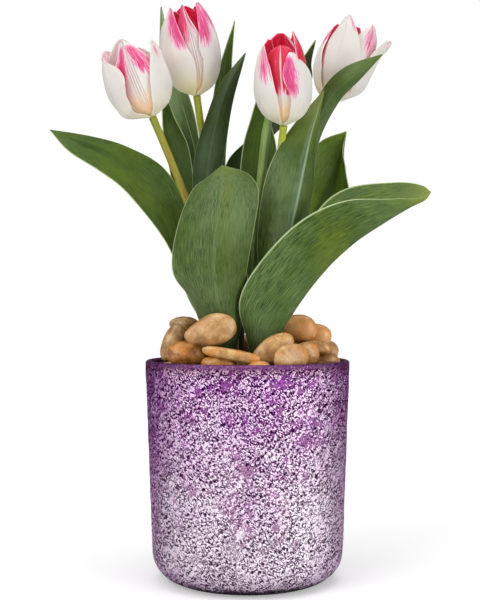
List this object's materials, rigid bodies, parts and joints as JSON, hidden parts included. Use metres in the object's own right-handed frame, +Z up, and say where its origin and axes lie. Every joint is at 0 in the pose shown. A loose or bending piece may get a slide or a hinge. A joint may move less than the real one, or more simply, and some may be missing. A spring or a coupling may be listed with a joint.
{
  "type": "potted tulip",
  "caption": "Potted tulips with white and pink blooms on curved stems and broad pointed leaves, rising from river pebbles in a violet and silver mosaic glass cylinder.",
  "frame": {"origin": "centre of the pot's flat foot, on the surface that the pot stands on; the pot's axis is the Z axis", "axes": "+Z up along the pot's axis, -Y towards the front of the arrangement, +X to the right when it is seen from the front"},
  "size_m": [0.2286, 0.127, 0.3681],
  "materials": {
    "mosaic_glass": "satin",
    "soil": "matte",
    "bulb": "satin",
    "stem": "satin",
    "leaf": "satin",
    "petal": "satin",
    "heart": "matte",
    "pebble": "satin"
  },
  "bodies": {
    "root": {"pot": "mosaic_glass", "soil": "soil", "bulb_front_left": "bulb", "bulb_back_left": "bulb", "bulb_front_right": "bulb", "bulb_back_right": "bulb", "stem_front_left": "stem", "stem_back_left": "stem", "stem_front_right": "stem", "stem_back_right": "stem", "leaf_front_left_1": "leaf", "leaf_front_left_2": "leaf", "leaf_front_left_3": "leaf", "leaf_back_left_1": "leaf", "leaf_back_left_2": "leaf", "leaf_back_left_3": "leaf", "leaf_back_left_4": "leaf", "leaf_front_right_1": "leaf", "leaf_front_right_2": "leaf", "leaf_front_right_3": "leaf", "leaf_back_right_1": "leaf", "leaf_back_right_2": "leaf", "leaf_back_right_3": "leaf", "bloom_front_left": "petal", "bloom_back_left": "petal", "bloom_front_right": "petal", "bloom_back_right": "petal", "heart_front_left": "heart", "heart_back_left": "heart", "heart_front_right": "heart", "heart_back_right": "heart", "pebble_01": "pebble", "pebble_02": "pebble", "pebble_03": "pebble", "pebble_04": "pebble", "pebble_05": "pebble", "pebble_06": "pebble", "pebble_07": "pebble", "pebble_08": "pebble", "pebble_09": "pebble", "pebble_10": "pebble", "pebble_11": "pebble", "pebble_12": "pebble", "pebble_13": "pebble", "pebble_14": "pebble", "pebble_15": "pebble", "pebble_16": "pebble", "pebble_17": "pebble", "pebble_18": "pebble", "pebble_19": "pebble", "pebble_20": "pebble", "pebble_21": "pebble", "pebble_22": "pebble", "pebble_23": "pebble", "pebble_24": "pebble", "pebble_25": "pebble", "pebble_26": "pebble", "pebble_27": "pebble", "pebble_28": "pebble", "pebble_29": "pebble"}
  },
  "joints": []
}
